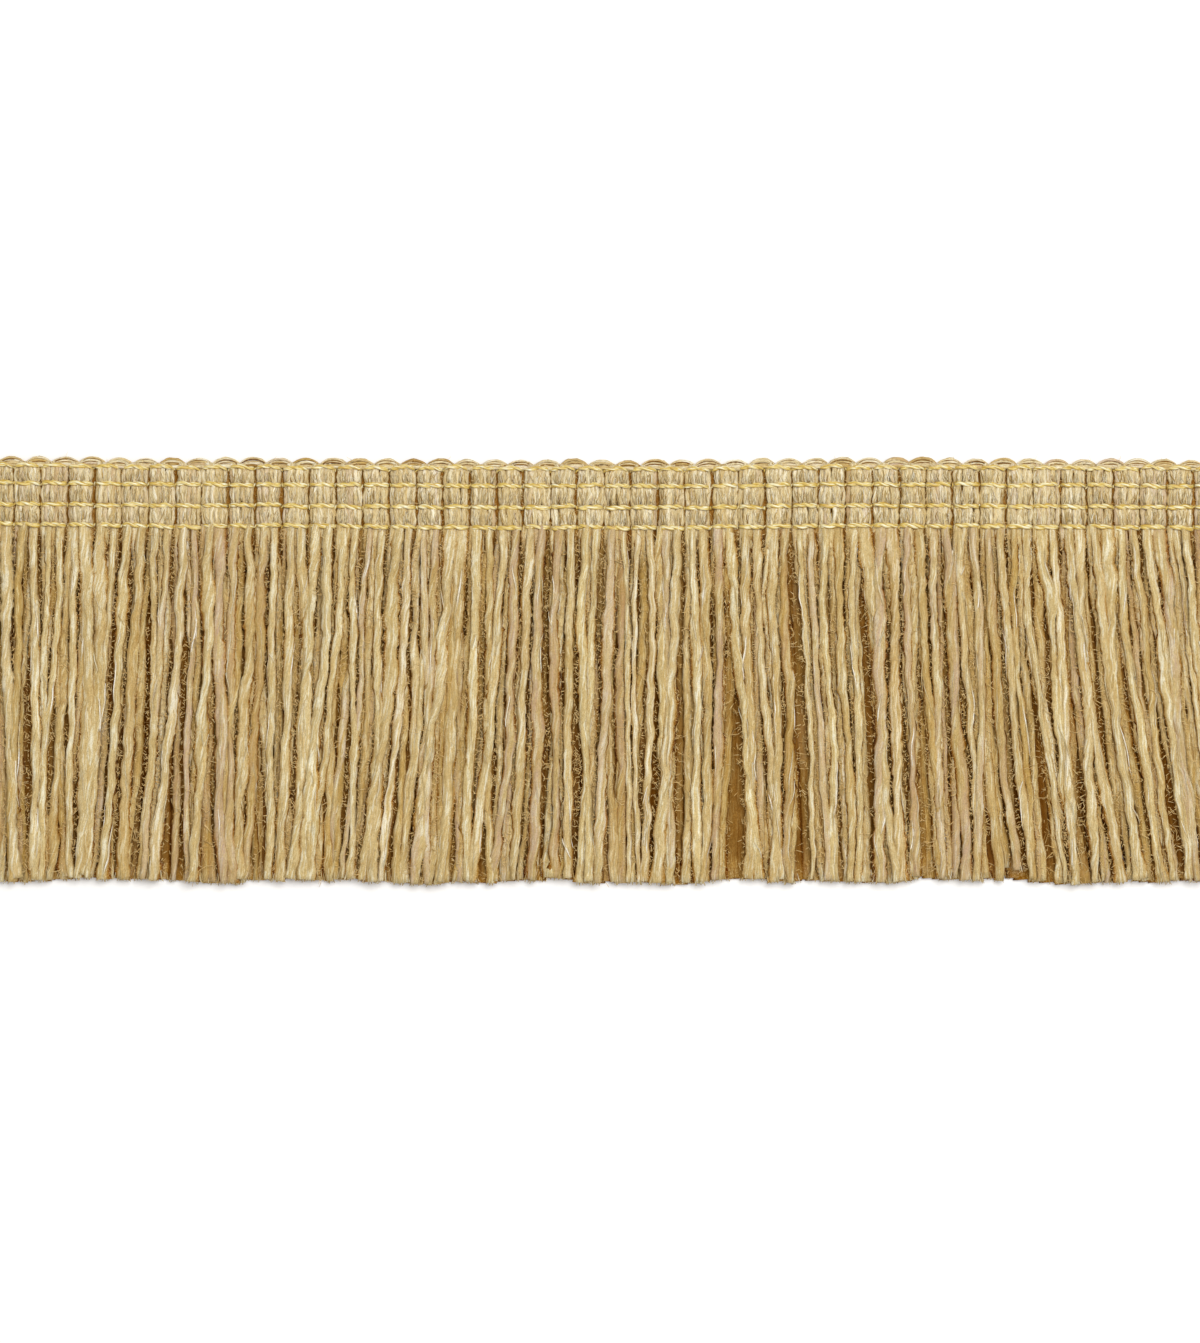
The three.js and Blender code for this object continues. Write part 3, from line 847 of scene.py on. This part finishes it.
def build_bundles(material):
    """The yarns of each column, side by side, that swell between the chain rows."""
    number = BUNDLE["yarns"]
    count = COLUMNS * number
    column, j = np.divmod(np.arange(count), number)
    side = ((j - (number - 1) / 2) / ((number - 1) / 2))[:, None]
    middle = column_middles(column)[:, None]
    s = np.linspace(0, 1, BUNDLE["rings"])
    y = BUNDLE["foot"] + (BUNDLE["head"] - BUNDLE["foot"]) * s[None]
    swell = cushion(y)
    wander = waves(count, s, BUNDLE_WAVES)
    fan = 1 + BUNDLE["fan"] * np.maximum(y - BUNDLE["fan_from"], 0)
    reach = BUNDLE["gap"] * (number - 1) / 2
    swollen = {key: fixed + more * swell for key, (fixed, more) in BUNDLE_SWELL.items()}
    x = middle + side * reach * swollen["x"] * fan + wander
    stout = spread(*BUNDLE["stout"], count, 1)
    width = BUNDLE["broad"] * stout * swollen["width"]
    height = BUNDLE["narrow"] * swollen["height"] + 0 * side
    plump = spread(*BUNDLE["plump"], COLUMNS, 1)[column]
    z = bundle_crown(y, side) + plump * swell - BUNDLE["sunk"] + waves(count, s, BUNDLE_BOB)
    centres = stack_path(x, y + band_line(x), z)
    tones = yarn_tones(count, BUNDLE["light"], BUNDLE["pink"], BUNDLE["pale"], BUNDLE["uneven"])
    twist = yarn_twist(count, s, BUNDLE["turned"])
    lobes = yarn_lobes(count, BUNDLE["lobes"], BUNDLE["lobe_length"])
    sides = BUNDLE["sides"]
    piece = tubes("heading_bundles", centres, width, height, sides, tones, material, lobes, twist)
    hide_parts("heading")
    return piece


def build_streaks(material):
    """Fibres on the bundles' faces, from one chain row to the next, some of them askew."""
    parts = []
    for low, high in STREAKS["fields"]:
        count = COLUMNS * STREAKS["per_field"]
        column = np.repeat(np.arange(COLUMNS), STREAKS["per_field"])
        begin = spread(-STREAKS["start"], STREAKS["start"], count, 1)
        end = begin + RNG.normal(0, STREAKS["askew"], (count, 1))
        end = np.clip(end, -STREAKS["most"], STREAKS["most"])
        s = np.linspace(0, 1, STREAKS["rings"])[None]
        side = begin + (end - begin) * s
        side = side + STREAKS["bow"] * np.sin(np.pi * s) * RNG.normal(0, 1, (count, 1))
        share = spread(*STREAKS["from"], count, 1) + s * spread(*STREAKS["long"], count, 1)
        y = low + (high - low) * share
        x = column_middles(column)[:, None] + side * STREAKS["reach"]
        z = bundle_crown(y, side) + spread(*STREAKS["up"], count, 1)
        parts.append(stack_path(x, y + band_line(x), z))
    centres = np.concatenate(parts)
    count = len(centres)
    size = spread(*STREAKS["thick"], count, 1) * tapered(s, STREAKS["ends"])
    tones = yarn_tones(count, STREAKS["light"], STREAKS["pink"], STREAKS["pale"], STREAKS["uneven"])
    width = size * STREAKS["broad"]
    piece = tubes(
        "heading_streaks", centres, width, size, 3, tones, material, open_to_light=STREAKS["open"]
    )
    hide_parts("heading")
    return piece


def build_scallops(material):
    """The yarns turn over at the top edge, from the middle of one column to the next, one arc over each
    groove. An arc's left end lies on the arc before it and its right end dives under the next."""
    parts = []
    groove = np.arange(COLUMNS + 1)
    count = len(groove)
    middle = (groove * PITCH - LENGTH / 2 + ARC_PLACE)[:, None]
    lower = (scatter(groove, KEY["crest"]) * SCALLOP_UNEVEN)[:, None]
    s = np.linspace(0, 1, ARC["rings"])[None]
    from_share = np.where(groove == 0, ARC["first_from"], 0.0)[:, None]
    to_share = np.where(groove == COLUMNS, ARC["last_to"], 1.0)[:, None]
    share = from_share + (to_share - from_share) * s
    sizes = []
    for arc in ARCS:
        u = (2 * share - 1) * arc["reach"]
        x = middle + u * PITCH / 2 + RNG.normal(0, ARC["aside"], (count, 1))
        bend = ARC["bend"][0] * np.abs(u) ** 3 + ARC["bend"][1] * u ** 2
        y = arc["crest"] - lower - arc["sag"] * bend * spread(*ARC["uneven"], count, 1)
        y = y + band_line(x) + RNG.normal(0, ARC["up"], (count, 1))
        z = arc["rise"] * (1 - ARC["fall"] * u ** 2) - ARC["dive"] * u
        parts.append(stack_path(x, y, np.maximum(z, arc["thick"] / 2)))
        full = np.clip(ARC["full"] - np.abs(u), 0, 1) ** 0.5
        sizes.append(arc["thick"] * (ARC["ends"][0] + ARC["ends"][1] * full) + 0 * x)
    centres = np.concatenate(parts)
    width = np.concatenate(sizes) * spread(*ARC["stout"], len(centres), 1)
    tones = np.concatenate([yarn_tones(count, arc["light"]) for arc in ARCS])
    twist = yarn_twist(len(centres), s[0], ARC["turned"])
    lobes = yarn_lobes(len(centres), ARC["lobes"], ARC["lobe_length"])
    piece = tubes(
        "heading_scallops", centres, width, width * ARC["flat"], ARC["sides"], tones, material,
        lobes=lobes, twist=twist, open_to_light=ARC["open"],
    )
    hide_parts("heading")
    return piece


def build_ground(material):
    """The band's body under the bundles, one ribbed sheet that shows only deep in the grooves, toned dark
    there as painted shade.
    """
    across = COLUMNS * GROUND["per_column"] + 1
    x = np.linspace(-LENGTH / 2, LENGTH / 2, across)[:, None]
    y = np.linspace(GROUND["foot"], GROUND["head"], GROUND["lines"])[None]
    rib = np.abs(np.sin(np.pi * (x + LENGTH / 2) / PITCH))
    top = GROUND["groove"] + (GROUND["crown"] - GROUND["groove"]) * rib
    upper = stack_path(x, y + band_line(x), top)
    lower = stack_path(x, y + band_line(x), GROUND["under"])
    points = np.concatenate([upper.reshape(-1, 3), lower.reshape(-1, 3)])
    half = across * GROUND["lines"]
    at = np.arange(half).reshape(across, GROUND["lines"])
    quads = np.stack([at[:-1, :-1], at[1:, :-1], at[1:, 1:], at[:-1, 1:]], axis=-1).reshape(-1, 4)
    rim = np.concatenate([at[:-1, 0], at[-1, :-1], at[:0:-1, -1], at[0, :0:-1]])
    after = np.roll(rim, -1)
    walls = np.stack([rim, rim + half, after + half, after], axis=-1)
    faces = np.concatenate([quads, quads[:, ::-1] + half, walls])
    tone = np.tile(GROUND_SHADE_TONE, (len(points), 1))
    tone[np.abs(points[:, 0]) > LENGTH / 2 - END_REACH] = GROUND_OPEN_END_TONE
    attributes = {
        "lay": ("FLOAT_VECTOR", "vector", points),
        "tone": ("FLOAT_COLOR", "color", tone),
    }
    piece = mesh_object("heading_ground", points, [faces], attributes, material)
    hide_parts("heading")
    return piece


def build_heading_fuzz(material):
    """Short hairs of the bundles that cross the grooves and stand off the scallops."""
    look = HEADING_HAIRS
    count = look["count"]
    column = RNG.integers(0, COLUMNS + 1, count)
    x = column * PITCH - LENGTH / 2 + RNG.normal(0, look["beside"], count)
    x = np.clip(x, -LENGTH / 2, LENGTH / 2)
    y = spread(*look["y"], count)
    z = spread(*look["z"], count)
    z = np.where(y > look["edge_from"], spread(*look["edge_z"], count), z)
    start = stack_path(x, y + band_line(x), z)
    heading = np.where(RNG.random(count) < 0.5, 0, np.pi) + RNG.normal(0, look["aside"], count)
    length = np.minimum(look["base"] + RNG.gamma(look["shape"], look["more"], count), look["most"])
    curl = RNG.normal(0, look["curl"], count)
    climb = spread(*look["climb"], count)
    centres = hair_paths(start, heading, length, curl, climb, look["rings"])
    s = np.linspace(0, 1, look["rings"])[None]
    size = look["thick"] * spread(*look["thin"], count, 1) * (1 - look["taper"] * s)
    tones = yarn_tones(count, look["light"], pink=look["pink"], pale=look["pale"])
    sides = look["sides"]
    piece = tubes("heading_fuzz", centres, size, size, sides, tones, material, open_to_light=look["open"])
    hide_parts("heading")
    return piece


# Chain stitch

def build_chain(row, material):
    """One row of chain stitch: two plies twist over each bundle and dive into the grooves beside it."""
    middle = column_middles(np.arange(COLUMNS))[:, None]
    each = (COLUMNS, 1)
    s = np.linspace(0, 1, PLY["rings"])[None]
    u = 2 * s - 1
    jitter = RNG.normal(0, STITCH["up"], each)
    slant = RNG.normal(STITCH["slant"], STITCH["slant_uneven"], each)
    x = middle + STITCH_REACH * u + RNG.normal(0, STITCH["aside"], each)
    y = row["y"] + row["bow"] * np.sin(np.pi * s) - slant * u / 2 + jitter
    y = y + STITCH["wave"] * RNG.normal(0, 1, each) * np.sin(2 * np.pi * s)
    dive = smoothstep((np.abs(u) - DIVE["from"]) / DIVE["over"]) ** DIVE["curve"]
    z = THREAD_TOP - DIVE["depth"] * dive + RNG.normal(0, STITCH["rise"], each)
    turns = PLY["turns"] * spread(*STITCH["turns"], *each)
    start = spread(0, 2 * np.pi, *each)
    arch = np.sin(np.pi * s)
    offset = PLY["offset"] * (STITCH["ends"][0] + STITCH["ends"][1] * arch)
    parts = []
    for ply in range(2):
        turn = 2 * np.pi * turns * s + start + np.pi * ply
        parts.append(stack_path(x, y + band_line(x) + offset * np.cos(turn), z + offset * np.sin(turn)))
    centres = np.concatenate(parts)
    size = row["size"] * PLY["width"] * (STITCH["thin_ends"][0] + STITCH["thin_ends"][1] * arch ** 0.5)
    size = size * spread(*STITCH["stout"], len(centres), 1)
    tones = yarn_tones(len(centres), THREAD_LIGHT)
    name = row["name"] + "_thread"
    piece = tubes(name, centres, size, size * PLY["flat"], PLY["sides"], tones, material)
    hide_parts(row["name"])
    return piece


def build_locks(material):
    """The small loop at every groove, where one stitch of a chain locks into the next."""
    parts = []
    groove = np.arange(1, COLUMNS)
    count = len(groove)
    s = np.linspace(0, 1, LOCK["rings"])[None]
    for row in ROWS:
        lean = RNG.normal(LOCK["lean"], LOCK["lean_uneven"], (count, 1))
        x = (groove * PITCH - LENGTH / 2)[:, None] + RNG.normal(0, LOCK["aside"], (count, 1))
        x = x + lean * (s - 0.5)
        rise = spread(*LOCK["long"], count, 1)
        y = row["y"] + band_line(x) + rise * (s - 0.5)
        y = y + RNG.normal(LOCK["low"], LOCK["low_uneven"], (count, 1))
        z = LOCK["z"] + spread(*LOCK["arch"], count, 1) * np.sin(np.pi * s)
        parts.append(stack_path(x, y, z))
    centres = np.concatenate(parts)
    size = spread(*LOCK["thick"], len(centres), 1)
    size = size * (LOCK["ends"][0] + LOCK["ends"][1] * np.sin(np.pi * s))
    tones = yarn_tones(len(centres), THREAD_LIGHT)
    piece = tubes("chain_locks", centres, size, size, LOCK["sides"], tones, material)
    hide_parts(*[row["name"] for row in ROWS])
    return piece


# Stage

def build_floor():
    size = FLOOR["size"]
    corners = [(-size, -size, 0), (size, -size, 0), (size, size, 0), (-size, size, 0)]
    mesh = bpy.data.meshes.new("floor")
    mesh.from_pydata(corners, [], [(0, 1, 2, 3)])
    mesh.materials.append(plain_material("pale_floor", FLOOR["colour"], FLOOR["roughness"]))
    floor = bpy.data.objects.new("floor", mesh)
    floor.location.z = FLOOR["below"] * MM
    bpy.context.scene.collection.objects.link(floor)


def area_light(name, place, aim, size, power):
    light = bpy.data.lights.new(name, "AREA")
    light.shape = "DISK"
    light.size = size
    light.energy = power
    lamp = bpy.data.objects.new(name, light)
    lamp.location = place
    lamp.rotation_euler = (Vector(aim) - Vector(place)).to_track_quat("-Z", "Y").to_euler()
    bpy.context.scene.collection.objects.link(lamp)


def build_lights():
    world = bpy.data.worlds.new("studio")
    world.use_nodes = True
    background = world.node_tree.nodes["Background"]
    background.inputs[0].default_value = SKY["colour"]
    background.inputs[1].default_value = SKY["strength"]
    bpy.context.scene.world = world
    area_light("key", KEY_LIGHT["place"], (0, 0, 0), KEY_LIGHT["size"], KEY_LIGHT["power"])


def build_camera():
    wide = PHOTO["width"] * PHOTO["mm"]
    tall = PHOTO["height"] * PHOTO["mm"]
    camera = bpy.data.cameras.new("camera")
    camera.lens = LENS
    camera.sensor_width = SENSOR
    holder = bpy.data.objects.new("camera", camera)
    x = (PHOTO["width"] / 2 - PHOTO["groove_x"]) * PHOTO["mm"]
    y = (PHOTO["row_4_y"] - PHOTO["height"] / 2) * PHOTO["mm"]
    distance = max(wide, tall) / SENSOR * LENS
    holder.location = [(v + s) * MM for v, s in zip((x, y, distance), SHIFT)]
    bpy.context.scene.collection.objects.link(holder)
    bpy.context.scene.camera = holder


def main():
    build_camera()
    build_lights()
    build_floor()
    fringe_yarn = yarn_material(
        "fringe_yarn",
        [
            (0.33, (0.56, 0.43, 0.2)), (0.46, (0.68, 0.59, 0.345)), (0.495, (0.53, 0.4, 0.175)),
            (0.53, (0.69, 0.615, 0.375)), (0.64, (0.79, 0.79, 0.66)),
        ],
        # painted shade on the flanks and underside
        [(0.5, (0.35, 0.12, 0.006)), (0.66, (0.69, 0.42, 0.1)), (0.82, (1.0, 1.0, 1.0))],
        pink=(0.5, 0.37, 0.29, 1), pale=(0.96, 0.94, 0.9, 1), bump=0.1, curl_scale=(3.6, 2.5, 3.6),
    )
    heading_yarn = yarn_material(
        "heading_yarn",
        [
            (0.34, (0.66, 0.55, 0.31)), (0.46, (0.8, 0.76, 0.55)), (0.495, (0.57, 0.45, 0.23)),
            (0.53, (0.82, 0.78, 0.58)), (0.63, (0.91, 0.92, 0.84)),
        ],
        # painted shade on the flanks and underside
        [(0.3, (0.62, 0.32, 0.045)), (0.55, (0.86, 0.7, 0.4)), (0.75, (1.0, 1.0, 1.0))],
        pink=(0.6, 0.48, 0.39, 1), pale=(0.88, 0.84, 0.74, 1), bump=0.1, curl_scale=(4.2, 0.9, 4.2),
    )
    loose_hair = yarn_material(
        "loose_hair",
        [(0.3, (0.72, 0.5, 0.2)), (0.6, (0.86, 0.7, 0.38))],
        # painted shade on the flanks and underside
        [(0.4, (0.9, 0.8, 0.6)), (0.7, (1.0, 1.0, 1.0))],
        pink=(0.62, 0.46, 0.32, 1), pale=(0.9, 0.84, 0.66, 1), bump=0.05, curl_scale=(3.2, 1.9, 3.2),
    )
    gold = thread_material()
    ground = build_ground(heading_yarn)
    pieces = [build_bundles(heading_yarn), build_streaks(heading_yarn), build_scallops(heading_yarn)]
    pieces += [build_heading_fuzz(loose_hair), build_locks(gold)]
    pieces += [build_chain(row, gold) for row in ROWS]
    strands, paths = build_fringe(fringe_yarn)
    pieces += strands
    pieces += build_fuzz(paths, loose_hair)
    pieces += [build_wisps(paths, fringe_yarn), build_tips(paths, fringe_yarn)]
    scene = bpy.context.scene
    scene.view_settings.view_transform = "Standard"
    scene.view_settings.look = "None"


main()
